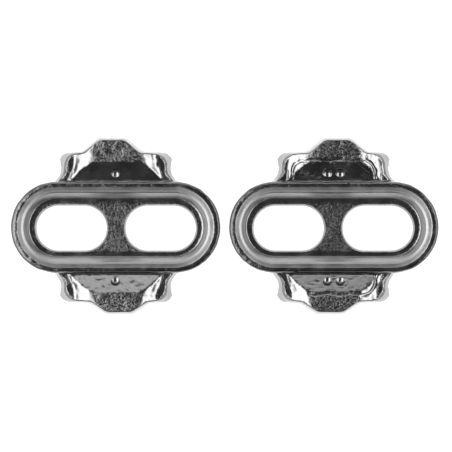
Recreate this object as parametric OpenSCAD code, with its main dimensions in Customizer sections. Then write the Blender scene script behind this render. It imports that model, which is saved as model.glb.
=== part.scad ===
// A pair of cleats for clipless bicycle pedals, left and right.
// Each one is a single plated steel forging: an oval dish with two bolt slots and a tongue at the toe and at the heel.
// The sole face lies on z = 0, +Z points at the pedal and +Y at the toe. The right cleat mirrors the left one.

/* [Pair] */
// Distance between the centres of the two cleats as they lie side by side
pair_pitch = 34.1; // [33.4:0.1:60]

/* [Oval dish] */
// Length of the oval across the shoe, at its widest
oval_l = 32.7; // [32.3:0.1:33.3]
// Width of the oval along the shoe, at its widest
oval_w = 14.2; // [13.9:0.1:14.4]
// Height of the rim above the sole face
rim_h = 5.8; // [5.6:0.1:6.2]
// Width of the flat land on top of the rim
rim_land = 0.3; // [0.2:0.05:0.4]
// How far the rim's outer wall leans in on its way up
rim_draft = 0.45; // [0.3:0.05:0.6]
// Thickness of the floor that the bolts clamp
floor_t = 2.2; // [1.8:0.1:2.6]
// Height of the boss that seats on the sole, under the tongues
boss_h = 2.4; // [2.2:0.1:3]
// How far the boss stands inside the oval's outline
boss_inset = 0.7; // [0.4:0.05:1]

/* [Bolt slots] */
// Distance between the centres of the two slots
slot_pitch = 14; // [13.8:0.1:14.2]
// Overall length of a slot, across the shoe
slot_l = 11; // [10:0.1:11.2]
// Width of a slot, along the shoe
slot_w = 7; // [6:0.1:7.6]

/* [Tongues] */
// Distance from the middle of the cleat to the tip of a tongue
tip_reach = 13.85; // [13.4:0.05:14.4]
// Sideways offset of the tip, which makes a left and a right cleat
tip_offset = 0.57; // [0:0.01:1]
// Half the width of the tip where its slopes would meet its front edge
tip_half_w = 2.03; // [1.6:0.01:2.4]
// Angle of the tip's slopes from its front edge
tip_slope = 38; // [34:1:42]
// Half the width of the shoulders
shoulder_half_w = 9; // [8.6:0.1:9.2]
// Distance from the middle of the cleat to the front edge of the shoulders
shoulder_reach = 11.7; // [11.4:0.1:11.9]
// Height of the flat crown of a tongue
crown_h = 6.6; // [6.4:0.1:7]
// Height of the valley between the rim and the tongue
valley_h = 5.3; // [5:0.1:5.5]
// Distance from the middle of the cleat to the inner edge of the crown
crown_start = 10; // [9.6:0.1:10.4]

/* [Hidden] */
$fn = 96;
e = 0.01;                                   // overlap that joins or cuts cleanly

oval_r = oval_w / 2;
oval_spine = (oval_l - oval_w) / 2;         // from the middle to the centre of each round end
rim_r = oval_r - rim_draft;                 // outer radius of the land
mouth_r = rim_r - rim_land;                 // where the dish starts
bevel_w = 0.7;                              // shallow bevel inside the land
bevel_drop = 0.5;
dish_spine = 9.1;                           // the dish is a little shorter than the oval
floor_r = 4.6;
dish_bevel_r = mouth_r - bevel_w;

boss_top_r = oval_r - boss_inset;
boss_foot_r = boss_top_r - 0.25;

slot_r = slot_w / 2;
slot_spine = (slot_l - slot_w) / 2;

skirt_in_x = 1.15;                          // how far the shoulders' sides lean in on their way up
skirt_in_y = 0.35;                          // the same for their front
shoulder_edge_h = 4.9;                      // top of the leaning sides
shoulder_corner_r = 1.7;
flare_r = 2;                                // round the shoulders flare into the oval with
flare_h = 4.6;
crown_half_w = 3.4;                         // the crown is flat between its two flanks
flank_foot_half_w = 6.3;                    // where the flanks meet the shoulders
tip_corner_r = 1;
tip_fillet_r = 2;

bar_channel_r = 2;                          // the channel under a tongue that the pedal's bar snaps into
bar_channel_y = 8.6;
bar_channel_depth = 0.7;

dot_r = 1;                                  // ball that presses an identifying dimple
dot_depth = 0.3;
dot_pitch = 2;
dot_y = 8.5;

// A solid with round ends and straight sides, whose radius goes from r1 at its foot to r2 at height h.
module long_cone(spine, r1, r2, h) {
    for (side = [-1, 1]) translate([side * spine, 0, 0]) cylinder(r1 = r1, r2 = r2, h = h);
    translate([-spine, 0, 0])
        rotate([90, 0, 90])
            linear_extrude(2 * spine) polygon([[-r1, 0], [r1, 0], [r2, h], [-r2, h]]);
}

// The oval's outer form: a boss that seats on the sole and the leaning wall of the dish above it.
module oval_body() {
    long_cone(oval_spine, boss_foot_r, boss_top_r, boss_h + e);
    translate([0, 0, boss_h]) long_cone(oval_spine, oval_r, rim_r, rim_h - boss_h);
}

// The hollow that takes the washer and the bolt heads.
module dish() {
    translate([0, 0, floor_t]) long_cone(dish_spine, floor_r, dish_bevel_r, rim_h - bevel_drop - floor_t + e);
    translate([0, 0, rim_h - bevel_drop])
        long_cone(dish_spine, dish_bevel_r, mouth_r + bevel_w / bevel_drop * e, bevel_drop + e);
}

module slot() {
    for (side = [-1, 1]) translate([side * slot_spine, 0, -e]) cylinder(r = slot_r, h = rim_h);
    translate([-slot_spine, -slot_r, -e]) cube([2 * slot_spine, slot_w, rim_h]);
}

// Half of the flare that leads a shoulder's side into the oval: its round is tangent to both.
module flare() {
    centre_x = shoulder_half_w + flare_r;
    centre_y = sqrt(pow(oval_r + flare_r, 2) - pow(centre_x - oval_spine, 2));
    share = oval_r / (oval_r + flare_r);
    touch = [oval_spine + (centre_x - oval_spine) * share, centre_y * share];
    inner_x = shoulder_half_w - skirt_in_x;
    difference() {
        polygon([[inner_x, oval_r / 2], touch, [centre_x, centre_y], [inner_x, centre_y]]);
        translate([centre_x, centre_y]) circle(r = flare_r);
    }
}

// The shoulders' outline, seen from the pedal.
module shoulder_outline() {
    inner_w = shoulder_half_w - shoulder_corner_r;
    translate([-inner_w, 0]) square([2 * inner_w, shoulder_reach]);
    translate([-shoulder_half_w, 0]) square([2 * shoulder_half_w, shoulder_reach - shoulder_corner_r]);
    for (side = [-1, 1])
        translate([side * inner_w, shoulder_reach - shoulder_corner_r]) circle(r = shoulder_corner_r);
}

// Half of the tip's outline, from its middle line outwards: a rounded corner, a slope and a fillet.
module half_tip_outline() {
    drop = tip_reach - shoulder_reach;
    foot = tip_half_w + drop / tan(tip_slope);
    corner = tip_corner_r * tan(tip_slope / 2);
    fillet = tip_fillet_r * tan(tip_slope / 2);
    polygon([
        [0, 0], [foot, 0], [foot, shoulder_reach],
        [tip_half_w + corner * cos(tip_slope), tip_reach - corner * sin(tip_slope)],
        [tip_half_w - corner, tip_reach], [0, tip_reach]
    ]);
    translate([tip_half_w - corner, tip_reach - tip_corner_r]) circle(r = tip_corner_r);
    difference() {
        polygon([
            [foot - e, shoulder_reach - e], [foot + fillet, shoulder_reach - e], [foot + fillet, shoulder_reach],
            [foot - fillet * cos(tip_slope), shoulder_reach + fillet * sin(tip_slope)]
        ]);
        translate([foot + fillet, shoulder_reach + tip_fillet_r]) circle(r = tip_fillet_r);
    }
}

// The tongue seen from its front: a flat crown, two flanks, two flatter shoulders and their leaning sides.
module front_profile() {
    right_half = [
        [crown_half_w, crown_h], [flank_foot_half_w, valley_h],
        [shoulder_half_w - skirt_in_x, shoulder_edge_h], [shoulder_half_w, boss_h]
    ];
    left_half = [for (i = [len(right_half) - 1 : -1 : 0]) [-right_half[i].x, right_half[i].y]];
    polygon(concat(right_half, left_half));
}

// The shoulders seen from the side, with their leaning front.
module shoulder_side_profile() {
    front_y = shoulder_reach - skirt_in_y * (crown_h - boss_h) / (shoulder_edge_h - boss_h);
    polygon([[0, boss_h], [shoulder_reach, boss_h], [front_y, crown_h], [0, crown_h]]);
}

// The tongue seen from its side: the valley behind the rim, the rising facet and the crown.
module side_profile() {
    valley_y = rim_r + 0.4;
    polygon([
        [oval_r - 1, boss_h], [tip_reach + 1, boss_h], [tip_reach + 1, crown_h],
        [crown_start, crown_h], [valley_y, valley_h], [oval_r - 1, valley_h]
    ]);
}

// Runs a profile seen from the side right across a tongue.
module across(reach) {
    translate([-reach, 0, 0]) rotate([90, 0, 90]) linear_extrude(2 * reach) children();
}

module dimples(count) {
    facet = atan2(crown_h - valley_h, crown_start - rim_r - 0.4);
    z = crown_h - (crown_start - dot_y) * tan(facet);
    for (i = [0 : count - 1])
        translate([(i - (count - 1) / 2) * dot_pitch, dot_y, z])
            rotate([facet, 0, 0]) translate([0, 0, dot_r - dot_depth]) sphere(r = dot_r);
}

// One tongue, pointing at +Y, with its tip set sideways and its identifying dimples.
module tongue(dots) {
    difference() {
        union() {
            intersection() {
                union() {
                    intersection() {
                        translate([0, 0, boss_h]) linear_extrude(crown_h - boss_h) shoulder_outline();
                        across(shoulder_half_w + e) shoulder_side_profile();
                    }
                    translate([-tip_offset, 0, boss_h])
                        linear_extrude(crown_h - boss_h) {
                            half_tip_outline();
                            mirror([1, 0]) half_tip_outline();
                        }
                }
                translate([0, tip_reach + e, 0])
                    rotate([90, 0, 0]) linear_extrude(tip_reach + e) front_profile();
                across(shoulder_half_w + e) side_profile();
            }
            translate([0, 0, boss_h]) linear_extrude(flare_h - boss_h) {
                flare();
                mirror([1, 0]) flare();
            }
        }
        translate([-oval_l / 2, bar_channel_y, boss_h + bar_channel_depth - bar_channel_r])
            rotate([0, 90, 0]) cylinder(r = bar_channel_r, h = oval_l);
        dimples(dots);
    }
}

// One left cleat; its heel tongue is its toe tongue turned half round.
module cleat(dots) {
    difference() {
        union() {
            oval_body();
            tongue(dots);
            rotate([0, 0, 180]) tongue(dots);
        }
        dish();
        for (side = [-1, 1]) translate([side * slot_pitch / 2, 0, 0]) slot();
    }
}

module left_cleat() {
    color("silver") translate([-pair_pitch / 2, 0, 0]) cleat(1);
}

module right_cleat() {
    color("silver") translate([pair_pitch / 2, 0, 0]) mirror([1, 0, 0]) cleat(2);
}

left_cleat();
right_cleat();
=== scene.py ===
"""A pair of plated steel shoe cleats for clipless pedals, lying sole down on a pale table.

Each cleat is worked on the bench at the origin in millimetres, pedal side up and toe towards +Y,
and is then scaled to metres and set down where its node lies in the frame.
"""

import math

import bpy
from mathutils import Matrix, Vector


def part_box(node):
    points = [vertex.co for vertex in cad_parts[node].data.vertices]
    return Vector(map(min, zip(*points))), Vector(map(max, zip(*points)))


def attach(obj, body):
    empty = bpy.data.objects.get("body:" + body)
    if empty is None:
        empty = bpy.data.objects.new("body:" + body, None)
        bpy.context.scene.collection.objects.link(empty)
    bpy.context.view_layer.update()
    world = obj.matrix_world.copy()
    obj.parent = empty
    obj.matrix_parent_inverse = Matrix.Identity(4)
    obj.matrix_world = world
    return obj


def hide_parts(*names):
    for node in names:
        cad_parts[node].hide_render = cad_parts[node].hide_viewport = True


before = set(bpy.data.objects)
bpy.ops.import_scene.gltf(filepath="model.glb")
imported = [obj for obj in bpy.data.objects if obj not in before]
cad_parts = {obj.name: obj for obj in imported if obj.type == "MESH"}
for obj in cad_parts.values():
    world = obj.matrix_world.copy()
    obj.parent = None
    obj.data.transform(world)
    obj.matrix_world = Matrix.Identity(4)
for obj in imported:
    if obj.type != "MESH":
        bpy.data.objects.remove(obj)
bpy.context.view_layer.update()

MM = 0.001

# Oval and its dish. Spines reach from the middle to the centre of each round end, and heights
# are from the sole.
OVAL_SPINE = 9.25
OVAL_R = 7.13
BOSS_H = 2.4
RIM_H = 5.8
DISH_SPINE = 9.1
MOUTH_R = 6.3
WALL_TOP_H = 5.3
FLOOR_R = 4.52
FLOOR_H = 2.2

# Turned rings in the dish's mouth, each a narrow step and then a steep bevel
RINGS = 3
RING_STEP = 0.08
RING_W = 0.19
RING_DROP = 0.14

# Bolt slots, set a little towards the heel
SLOT_R = 3.5
SLOT_SPINE = 2.0
SLOT_X = 7.0
SLOT_Y = -0.13

# Tongues: each facet rises from a valley beside the oval to a crown
TIP_Y = 13.88
TIP_SHIFT = 0.57
SET_BACK = 0.2             # from midway between the tips to the oval's middle, towards the heel
ROOT_Y = 7.15
VALLEY_Y = 7.05
VALLEY_H = 5.25
CROWN_Y = 10.25
CROWN_H = 6.6
SHOULDER_H = 5.1
FLANK_BEND = 0.64          # how far down a flank its slope changes

# Dimples, pressed with a ball
DOT_Y = 8.5
DOT_PITCH = 2.0
DOT_R = 1.0
DOT_DEPTH = 0.28

# Skin
SKIN_CELL = 0.14
ROUNDING_PASSES = 6
DENT_SPAN = 1.3
DENT_DEPTH = 0.12
SLIVER = 0.004
SMOOTH_UNDER = 42          # degrees between faces, past which an edge is shaded sharp


# ---------------------------------------------------------------- bench tools

def take(piece):
    """Makes a piece the only one selected and the active one."""
    bpy.ops.object.select_all(action="DESELECT")
    piece.select_set(True)
    bpy.context.view_layer.objects.active = piece


def edit(piece):
    """Opens a piece for editing by its faces, until done."""
    take(piece)
    bpy.ops.object.mode_set(mode="EDIT")
    bpy.ops.mesh.select_mode(type="FACE")


def done():
    bpy.ops.object.mode_set(mode="OBJECT")


def turn_faces_out(piece):
    """Turns every face so that it looks out of the solid."""
    edit(piece)
    bpy.ops.mesh.select_all(action="SELECT")
    bpy.ops.mesh.normals_make_consistent(inside=False)
    done()


def rounded(corners, steps=8):
    """An outline's points, from corners given in order as (x, y, radius)."""
    points = []
    for i, (x, y, radius) in enumerate(corners):
        here = Vector((x, y))
        if radius == 0:
            points.append(here)
            continue
        before = (Vector(corners[i - 1][:2]) - here).normalized()
        after = (Vector(corners[(i + 1) % len(corners)][:2]) - here).normalized()
        half = before.angle(after) / 2
        centre = here + (before + after).normalized() * radius / math.sin(half)
        start = here + before * radius / math.tan(half) - centre
        end = here + after * radius / math.tan(half) - centre
        sweep = -start.angle_signed(end)
        for step in range(steps + 1):
            points.append(centre + Matrix.Rotation(sweep * step / steps, 2) @ start)
    return points


def smooth_step(low, high, value):
    """0 at low and 1 at high, eased at both ends. With low above high it falls instead."""
    share = min(max((value - low) / (high - low), 0), 1)
    return share * share * (3 - 2 * share)


def oval(spine, radius, steps=160):
    """Points round an oval that lies across the shoe."""
    points = []
    for step in range(steps):
        angle = math.tau * (step + 0.5) / steps
        x, y = radius * math.cos(angle), radius * math.sin(angle)
        points.append(Vector((x + math.copysign(spine, x), y)))
    return points


def loft(name, levels):
    """A closed solid through outlines with the same number of points, each given as (points, height)."""
    points, height = levels[0]
    bpy.ops.object.select_all(action="DESELECT")
    bpy.ops.mesh.primitive_circle_add(vertices=len(points), fill_type="NGON")
    piece = bpy.context.object
    piece.name = name
    for vertex, point in zip(piece.data.vertices, points):
        vertex.co = (*point, height)
    for outline, height in levels[1:]:
        # The copied ring is the one left selected, and it still lies where the last outline was
        edit(piece)
        bpy.ops.mesh.extrude_region_move()
        done()
        for vertex in piece.data.vertices:
            if vertex.select:
                near = min(range(len(points)), key=lambda i: (vertex.co.xy - points[i]).length_squared)
                vertex.co = (*outline[near], height)
        points = outline
    turn_faces_out(piece)
    return piece


def along(name, levels, turn):
    """A bar through those profiles, drawn lying down and then turned to run along another axis."""
    piece = loft(name, levels)
    take(piece)
    piece.rotation_euler = [math.radians(angle) for angle in turn]
    bpy.ops.object.transform_apply(location=False, rotation=True, scale=False)
    return piece


def combine(piece, tool, how, solver="EXACT"):
    """Joins, trims or cuts a piece with a tool, which is used up."""
    take(piece)
    change = piece.modifiers.new("combine", "BOOLEAN")
    change.object = tool
    change.operation = how
    change.solver = solver
    bpy.ops.object.modifier_apply(modifier=change.name)
    bpy.data.objects.remove(tool)


def apply(piece, kind, **settings):
    """Adds one modifier with those settings and applies it."""
    take(piece)
    change = piece.modifiers.new(kind.lower(), kind)
    for setting, value in settings.items():
        setattr(change, setting, value)
    bpy.ops.object.modifier_apply(modifier=change.name)


# ---------------------------------------------------------------- the forging

def tongue_outline(tip_y, tip_half, foot_half, foot_y, shoulder_half, shoulder_y, corner_r,
                   waist_half, flare_half):
    """The tongue seen from the pedal, its tip shifted to the left and its root flared into the oval."""
    def side(sign):
        return [
            (sign * tip_half - TIP_SHIFT, tip_y, 1.8),
            (sign * foot_half - TIP_SHIFT, foot_y, 1.4),
            (sign * shoulder_half, shoulder_y, corner_r),
            (sign * waist_half, 8.5, 1.6),
            (sign * flare_half, ROOT_Y, 1.1),
            (sign * 13.2, 5.6, 0),
        ]
    return rounded(side(1) + side(-1)[::-1])


def arch_profile(crisp, crown_half, shift, crown_r, foot_half, foot_h, mid_h):
    """The tongue's top seen from the toe: a crown, two flanks and two nearly flat shoulders.

    On the crisp side the shoulder is almost level and meets its flank at a sharp line.
    """
    def side(sign):
        foot_r, drop = (0.7, -0.08) if sign == crisp else (2.2, 0.25)
        crown = sign * crown_half + shift
        foot = sign * foot_half
        return [
            (crown, CROWN_H, crown_r),
            (crown + (foot - crown) * FLANK_BEND, mid_h, 2.5),
            (foot, foot_h, foot_r),
            (sign * 9.4, foot_h - drop, 0),
            (sign * 14, foot_h - drop * 1.5, 0),
        ]
    return rounded(side(1) + [(14, 0, 0), (-14, 0, 0)] + side(-1)[::-1])


def make_tongue(tip_y, foot_half, crisp):
    """The tongue at the toe: a leaning skirt under an arched top that is faced on the dish's side."""
    foot = tongue_outline(tip_y, 2.15, 4.75, 11.95, 8.95, 11.68, 1.6, 9.03, 9.85)
    top = tongue_outline(tip_y - 0.26, 2.05, 4.5, 11.74, 7.85, 11.42, 2.1, 7.85, 9.0)
    crest = tongue_outline(tip_y - 0.5, 1.95, 4.3, 11.5, 7.8, 11.3, 2.1, 7.8, 8.95)
    tongue = loft("tongue", [(foot, BOSS_H), (top, SHOULDER_H), (crest, CROWN_H + 0.4)])

    # Stations from beyond the tip back to the oval, as minus their Y
    arch = along("arch", [
        (arch_profile(crisp, 3.7, -0.3, 3, foot_half - 0.2, 5.58, 5.97), -15),
        (arch_profile(crisp, 3.95, -0.1 * crisp, 4.5, foot_half + 0.25, 5.5, 6.0), -9.8),
        (arch_profile(crisp, 3.6, -0.1 * crisp, 6, 7.4, 5.3, 6.03), -7.4),
        (arch_profile(crisp, 3.6, -0.1 * crisp, 6, 8.4, 5.1, 5.8), -5),
    ], (90, 0, 0))
    combine(tongue, arch, "INTERSECT")

    side = rounded([
        (5, 0, 0), (15, 0, 0), (15, CROWN_H, 0), (CROWN_Y, CROWN_H, 0), (VALLEY_Y, VALLEY_H, 0),
        (6.85, 5.2, 0), (5, 5.2, 0),
    ])
    combine(tongue, along("side", [(side, -15), (side, 15)], (90, 0, 90)), "INTERSECT")

    channel = rounded([(6.2, 1, 0), (11.2, 1, 0), (10.4, 3.1, 1.6), (6.9, 3.1, 1.6)])
    combine(tongue, along("channel", [(channel, -15), (channel, 15)], (90, 0, 90)), "DIFFERENCE")
    return tongue


def make_blank(toe_foot, heel_foot, crisp):
    """The forging before its dish is sunk: the oval and both tongues in one skin, on a faced sole."""
    walls = [
        (6.05, 0), (6.2, 0.15), (6.35, 2.25), (6.45, BOSS_H), (7.02, BOSS_H), (OVAL_R, 2.6),
        (OVAL_R, 5.0), (7.12, 5.35), (7.06, 5.58), (6.97, 5.69), (6.86, 5.74), (6.6, RIM_H), (6.4, RIM_H),
    ]
    blank = loft("blank", [(oval(OVAL_SPINE, radius), height) for radius, height in walls])
    toe = (0, TIP_Y + SET_BACK, toe_foot, crisp)
    heel = (math.pi, TIP_Y - SET_BACK, heel_foot, -crisp)
    for turn, tip_y, foot_half, crisp_side in (toe, heel):
        tongue = make_tongue(tip_y, foot_half, crisp_side)
        tongue.data.transform(Matrix.Rotation(turn, 4, "Z"))
        combine(blank, tongue, "UNION")
    apply(blank, "REMESH", mode="VOXEL", voxel_size=SKIN_CELL)
    apply(blank, "SMOOTH", factor=0.5, iterations=ROUNDING_PASSES)
    dents = bpy.data.textures.new("dents", "CLOUDS")
    dents.noise_scale = DENT_SPAN
    dents.noise_depth = 1
    apply(blank, "DISPLACE", texture=dents, strength=DENT_DEPTH, mid_level=0.5, texture_coords="LOCAL")
    slab = [Vector(corner) for corner in ((-18, -16), (18, -16), (18, 16), (-18, 16))]
    combine(blank, loft("slab", [(slab, 0), (slab, 8)]), "INTERSECT", "MANIFOLD")
    return blank


def sink_dish(cleat):
    """Sinks the dish: a bevelled mouth with fine turned rings, a steep wall and a flat floor."""
    levels = [(MOUTH_R, 7), (MOUTH_R, RIM_H), (MOUTH_R - 0.06, RIM_H - 0.04)]
    for ring in range(RINGS):
        radius, height = levels[-1]
        levels += [(radius - RING_STEP, height - 0.008), (radius - RING_W, height - RING_DROP)]
    levels += [
        (5.36, 5.22), (5.26, 4.86), (5.08, 4), (4.92, 3.3), (4.8, 2.8), (4.7, 2.42), (4.63, 2.26),
        (FLOOR_R, FLOOR_H),
    ]
    levels += [(FLOOR_R - step * 0.35, FLOOR_H) for step in range(1, 13)]
    dish = loft("dish", [(oval(DISH_SPINE, radius), height) for radius, height in levels])
    combine(cleat, dish, "DIFFERENCE", "MANIFOLD")


def punch_slots(cleat):
    """Punches the two bolt slots, whose upper and lower edges are broken."""
    levels = [
        (SLOT_R + 0.27, 3), (SLOT_R + 0.27, FLOOR_H), (SLOT_R + 0.06, 1.92), (SLOT_R + 0.02, 1.8),
        (SLOT_R, 1.4), (SLOT_R, 0.2), (SLOT_R + 0.2, 0), (SLOT_R + 0.2, -1),
    ]
    for side in (-1, 1):
        slot = loft("slot", [(oval(SLOT_SPINE, radius, 96), height) for radius, height in levels])
        slot.data.transform(Matrix.Translation((side * SLOT_X, SLOT_Y, 0)))
        combine(cleat, slot, "DIFFERENCE", "MANIFOLD")


def punch_dots(cleat, count):
    """Presses round dimples into the middle of each facet, to tell one cleat from the other."""
    rise = (CROWN_H - VALLEY_H) / (CROWN_Y - VALLEY_Y)
    facet_h = VALLEY_H + (DOT_Y - VALLEY_Y) * rise
    lean = math.atan(rise)
    out = Vector((0, -math.sin(lean), math.cos(lean))) * (DOT_R - DOT_DEPTH)
    for end in (1, -1):
        for dot in range(count):
            x = (dot - (count - 1) / 2) * DOT_PITCH
            bpy.ops.object.select_all(action="DESELECT")
            bpy.ops.mesh.primitive_uv_sphere_add(segments=48, ring_count=24, radius=DOT_R)
            ball = bpy.context.object
            ball.data.transform(Matrix.Translation((end * x, end * (DOT_Y + out.y), facet_h + out.z)))
            combine(cleat, ball, "DIFFERENCE", "MANIFOLD")


def coin_outline(cleat):
    """Presses the punch's shallow, uneven outline round each facet, except at one corner of the heel."""
    half, far, corner = 6.5, 10.45, 1.9
    start, full = 7.2, 7.8
    width, depth = 0.36, 0.13
    groove = cleat.vertex_groups.new(name="groove")
    for vertex in cleat.data.vertices:
        place = vertex.co
        if place.z < 4.9 or abs(place.y) < start or (place.y < 0 and place.x > 4):
            continue
        wander = 0.12 * math.sin(1.7 * place.x) + 0.05 * math.sin(5.1 * place.x + place.y)
        out = Vector((max(abs(place.x) - half + corner, 0), max(abs(place.y) + wander - far + corner, 0)))
        away = abs(out.length - corner)
        if away < width:
            fade = smooth_step(start, full, abs(place.y))
            groove.add([vertex.index], fade * (1 - smooth_step(0, width, away)), "REPLACE")
    apply(cleat, "DISPLACE", vertex_group="groove", strength=-depth, mid_level=0)


def deburr(cleat):
    """Takes off the slivers that the cuts leave."""
    edit(cleat)
    bpy.ops.mesh.select_all(action="SELECT")
    bpy.ops.mesh.remove_doubles(threshold=SLIVER)
    bpy.ops.mesh.dissolve_degenerate(threshold=SLIVER)
    bpy.ops.mesh.delete_loose(use_faces=True)
    done()


def make_cleat(name, dots, toe_foot, heel_foot, crisp, coined):
    """A cleat drawn as the left one, toe towards +Y.

    The toe's flanks end at toe_foot either side of the middle and the heel's at heel_foot. The side
    whose shoulders are crisp, 1 for +X or -1, is the same at both ends.
    """
    cleat = make_blank(toe_foot, heel_foot, crisp)
    cleat.name = name
    if coined:
        coin_outline(cleat)
    sink_dish(cleat)
    punch_slots(cleat)
    punch_dots(cleat, dots)
    deburr(cleat)
    return cleat


# ---------------------------------------------------------------- plating

class Finish:
    """A material and a short way to add and join its nodes, whose lengths are in millimetres."""

    def __init__(self, name):
        self.material = bpy.data.materials.new(name)
        self.material.use_nodes = True
        self.tree = self.material.node_tree
        self.shader = self.tree.nodes["Principled BSDF"]

    def add(self, kind, inputs=None, **settings):
        node = self.tree.nodes.new("ShaderNode" + kind)
        for setting, value in settings.items():
            setattr(node, setting, value)
        for socket, value in (inputs or {}).items():
            self.feed(node, socket, value)
        return node

    def feed(self, node, socket, value):
        if isinstance(value, bpy.types.Node):
            value = value.outputs[0]
        if isinstance(value, bpy.types.NodeSocket):
            self.tree.links.new(value, node.inputs[socket])
        else:
            node.inputs[socket].default_value = value

    def noise(self, per_mm, detail=2.0, roughness=0.5, stretch=(1, 1, 1), turn=0):
        """Soft noise of about that many waves to the millimetre, stretched along axes turned about Z."""
        where = self.add("Mapping", {
            "Vector": self.add("TexCoord").outputs["Object"],
            "Scale": stretch,
            "Rotation": (0, 0, math.radians(turn)),
        }, vector_type="TEXTURE")
        inputs = {"Vector": where, "Scale": per_mm / MM, "Detail": detail, "Roughness": roughness}
        return self.add("TexNoise", inputs).outputs["Fac"]

    def spread(self, value, low, high, to_low, to_high):
        inputs = {"Value": value, "From Min": low, "From Max": high, "To Min": to_low, "To Max": to_high}
        return self.add("MapRange", inputs, clamp=True)

    def times(self, a, b):
        return self.add("Math", {0: a, 1: b}, operation="MULTIPLY")

    def plus(self, a, b):
        return self.add("Math", {0: a, 1: b}, operation="ADD")


def plated_steel():
    """Bright plate over a peened casting, smoother where the dies have coined it, with painted shade and a
    painted sheen in its colour.
    """
    steel = Finish("plated steel")
    grain, satin_and_sheen, painted_shade, brushed = [
        steel.add("Attribute", attribute_name=name).outputs["Fac"]
        for name in ("grain", "satin_and_sheen", "painted_shade", "brushed")
    ]
    # Heights in millimetres
    nub_h, ripple_h, drag_h, brush_h, scratch_h = 0.019, 0.03, 0.02, 0.03, -0.008
    peening = steel.noise(4.2, 3.0, 0.65)
    nubs = steel.spread(peening, 0.48, 0.73, 0, 1)
    ripple = steel.noise(1.1, 1.0)
    blotches = steel.noise(0.5, 3.0)
    drag = steel.noise(2.2, 2.0, 0.5, (1, 1, 8))
    brushing = steel.noise(5, 2.0, 0.5, (16, 1, 4))
    strokes = [steel.noise(4, 1.0, 0.5, (1, 18, 18), turn) for turn in (8, -38, 52)]
    scratches = [steel.spread(stroke, 0.66, 0.72, 0, 1) for stroke in strokes]
    scratched = steel.plus(steel.plus(scratches[0], scratches[1]), scratches[2])
    worn = steel.plus(steel.times(brushing, brush_h), steel.times(scratched, scratch_h))
    coarse = steel.plus(steel.times(steel.times(nubs, grain), nub_h), steel.times(worn, brushed))
    fine = steel.plus(steel.times(ripple, ripple_h), steel.times(steel.times(drag, satin_and_sheen), drag_h))
    bump = steel.add("Bump", {"Height": steel.plus(coarse, fine), "Strength": 1, "Distance": MM})
    mottle = steel.plus(steel.times(peening, 0.5), steel.times(blotches, 0.5))
    clean = steel.times(steel.spread(mottle, 0.35, 0.65, 0.33, 0.45), steel.spread(brushed, 0, 1, 1, 0.75))
    # Painted shade: the colour is darkened to under a fifth where the shade attribute is full
    painted_dark_tone = steel.times(clean, steel.spread(painted_shade, 0, 1, 1, 0.18))
    # Painted sheen: the colour is lightened by up to two fifths where the skin is satin, which also makes
    # it rougher below
    shade = steel.times(painted_dark_tone, steel.spread(satin_and_sheen, 0, 1, 1, 1.4))
    colour = steel.add("CombineColor", {0: shade, 1: shade, 2: shade})
    gloss = steel.plus(steel.spread(blotches, 0.3, 0.7, 0.13, 0.24), steel.times(satin_and_sheen, 0.42))
    steel.feed(steel.shader, "Base Color", colour)
    steel.feed(steel.shader, "Metallic", 1)
    steel.feed(steel.shader, "Roughness", gloss)
    steel.feed(steel.shader, "Normal", bump)
    return steel.material


def reach_in_dish(place):
    """Distance from the dish's spine."""
    return Vector((max(abs(place.x) - DISH_SPINE, 0), place.y)).length


def grain_at(place, normal):
    """How coarse the cast skin is: near 0 where it is coined or turned, 1 inside the slots."""
    level = smooth_step(0.94, 0.985, normal.z)
    reach = reach_in_dish(place)
    if reach < MOUTH_R - 0.05:
        if place.z > FLOOR_H + 0.2:
            return 0.05
        if place.z < FLOOR_H - 0.02:
            return 1.0
        # The floor is coarser away from the wall
        return 0.35 + 0.5 * smooth_step(0.1, 0.5, 4.1 - reach)
    on_crown = place.z > CROWN_H - 0.45 and abs(place.y) > CROWN_Y - 0.05
    return 0.1 + (0.85 if on_crown else 0.35) * level


def satin_and_sheen_at(place, normal):
    """How matt the skin is, which also lightens its colour as a painted sheen: most on the dish's wall,
    which the punch dragged, and some in its mouth.
    """
    if reach_in_dish(place) > MOUTH_R or place.z < FLOOR_H + 0.2:
        return 0.0
    at_end = smooth_step(9, 13, abs(place.x))
    return 1 - 0.5 * at_end if normal.z < 0.6 else 0.35 + 0.3 * at_end


def painted_shade_at(place, normal):
    """Painted shade, how far the plate's colour is darkened: on rounded edges, over the left shoulders and
    at the oval's ends.
    """
    at_end = smooth_step(9.5, 13.5, abs(place.x))
    if reach_in_dish(place) < MOUTH_R:
        # Painted shade on the dish's wall, deeper towards the oval's ends
        on_wall = normal.z < 0.6 and FLOOR_H + 0.2 < place.z < WALL_TOP_H
        return 0.6 * at_end if on_wall else 0.0
    if place.z < 4.6:
        return 0.0
    # Painted shade on the tongues' rounded edges, reaching nearly level faces over the left shoulders and
    # fading down the upright skirts
    if abs(place.y) > ROOT_Y:
        start = 0.997 if place.x < -6.3 and place.z < 5.5 else 0.91
        upright = smooth_step(0.35, 0.1, normal.z)
        fade = 1 - upright * (1 - 0.85 * smooth_step(4.7, 6.2, place.z))
        return fade * smooth_step(start, start - 0.06, normal.z)
    # Painted shade on the oval's rim, deeper at its ends
    return (0.5 + 0.35 * at_end) * smooth_step(0.0, 0.2, normal.z) * smooth_step(0.997, 0.97, normal.z)


def brushed_at(place, normal):
    """How much a facet is dulled by use."""
    on_facet = 6.9 < abs(place.y) < CROWN_Y + 0.1 and normal.z > 0.85
    return smooth_step(0.3, 0.4, abs(normal.y)) if on_facet else 0.0


def unused_at(place, normal):
    """A facet that use hasn't dulled."""
    return 0.0


def mark(piece, name, rule):
    """Keeps a rule's value at every vertex, for the finish to read."""
    values = piece.data.attributes.new(name, "FLOAT", "POINT")
    for vertex, value in zip(piece.data.vertices, values.data):
        value.value = rule(vertex.co, vertex.normal)


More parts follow.
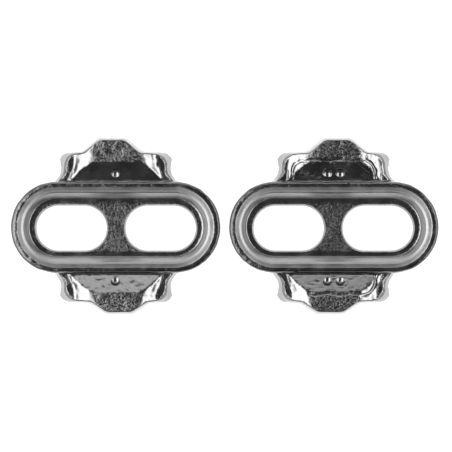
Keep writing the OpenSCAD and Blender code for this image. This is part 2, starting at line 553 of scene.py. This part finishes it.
left = make_cleat("left_plated_cleat", 1, 6.2, 6.2, -1, False)
right = make_cleat("right_plated_cleat", 2, 6.9, 6.4, 1, True)
right.data.transform(Matrix.Scale(-1, 4, (1, 0, 0)))
turn_faces_out(right)

for cleat, node in ((left, "left_cleat"), (right, "right_cleat")):
    mark(cleat, "grain", grain_at)
    # The matt skin and its painted sheen are kept at each vertex
    mark(cleat, "satin_and_sheen", satin_and_sheen_at)
    # The painted shade is kept at each vertex
    mark(cleat, "painted_shade", painted_shade_at)
    mark(cleat, "brushed", brushed_at if cleat == right else unused_at)
    low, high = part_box(node)
    middle = Vector(((low.x + high.x) / 2, -SET_BACK * MM, 0))
    cleat.data.transform(Matrix.Translation(middle) @ Matrix.Scale(MM, 4))
    take(cleat)
    bpy.ops.object.shade_smooth_by_angle(angle=math.radians(SMOOTH_UNDER))
    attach(cleat, "root")
    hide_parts(node)

steel = plated_steel()
for cleat in (left, right):
    cleat.data.materials.clear()
    cleat.data.materials.append(steel)


# ---------------------------------------------------------------- table, lights and camera

def make_table():
    """A pale sheet a hair below the soles, so that the two don't flicker into each other."""
    gap = 0.00002
    bpy.ops.object.select_all(action="DESELECT")
    bpy.ops.mesh.primitive_plane_add(size=4, location=(0, 0, -gap))
    table = bpy.context.object
    table.name = "table"
    paper = Finish("white paper")
    paper.feed(paper.shader, "Base Color", (0.1, 0.1, 0.1, 1))
    paper.feed(paper.shader, "Roughness", 0.9)
    paper.feed(paper.shader, "Emission Color", (1, 1, 1, 1))
    paper.feed(paper.shader, "Emission Strength", 1.15)
    table.data.materials.append(paper.material)


def softbox(name, turn, lean, size, strength, distance=0.6):
    """A panel that faces the middle, at that turn from +X and that lean from straight overhead."""
    turn, lean = math.radians(turn), math.radians(lean)
    out = Vector((math.cos(turn) * math.sin(lean), math.sin(turn) * math.sin(lean), math.cos(lean)))
    bpy.ops.object.select_all(action="DESELECT")
    bpy.ops.object.light_add(type="AREA", location=out * distance)
    light = bpy.context.object
    light.name = name
    light.data.shape = "RECTANGLE"
    light.data.size, light.data.size_y = size
    light.data.energy = strength * size[0] * size[1] * math.pi
    light.rotation_euler = out.to_track_quat("Z", "Y").to_euler()
    light.visible_camera = False


def studio():
    """A dark ceiling over pale walls, which are brighter to the left and right."""
    world = bpy.data.worlds.new("studio")
    bpy.context.scene.world = world
    world.use_nodes = True
    nodes, links = world.node_tree.nodes, world.node_tree.links
    where = nodes.new("ShaderNodeTexCoord")
    split = nodes.new("ShaderNodeSeparateXYZ")
    sideways = nodes.new("ShaderNodeMath")
    sideways.operation = "MULTIPLY"
    walls = nodes.new("ShaderNodeMapRange")
    walls.inputs["From Max"].default_value = 0.9
    walls.inputs["To Min"].default_value = 0.85
    walls.inputs["To Max"].default_value = 1.15
    room = nodes.new("ShaderNodeMapRange")
    room.inputs["From Min"].default_value = 0.38
    room.inputs["From Max"].default_value = 0.5
    room.inputs["To Max"].default_value = 0.05
    links.new(where.outputs["Generated"], split.inputs[0])
    links.new(split.outputs["X"], sideways.inputs[0])
    links.new(split.outputs["X"], sideways.inputs[1])
    links.new(sideways.outputs[0], walls.inputs["Value"])
    links.new(split.outputs["Z"], room.inputs["Value"])
    links.new(walls.outputs[0], room.inputs["To Min"])
    links.new(room.outputs[0], nodes["Background"].inputs["Color"])


def make_camera():
    """Straight overhead, with a long lens."""
    shift, height, lens = 0.0002, 0.75, 379.5
    bpy.ops.object.camera_add(location=(shift, 0, height), rotation=(0, 0, 0))
    camera = bpy.context.object
    camera.data.lens = lens
    camera.data.sensor_width = 36
    camera.data.clip_end = 10
    bpy.context.scene.camera = camera


make_table()
studio()
softbox("left softbox", 180, 41.5, (0.8, 0.46), 2.7)
softbox("right softbox", 0, 49, (0.8, 0.28), 2.7)
softbox("far panel", 90, 49, (0.5, 0.25), 0.9)
make_camera()
bpy.context.scene.view_settings.view_transform = "Standard"
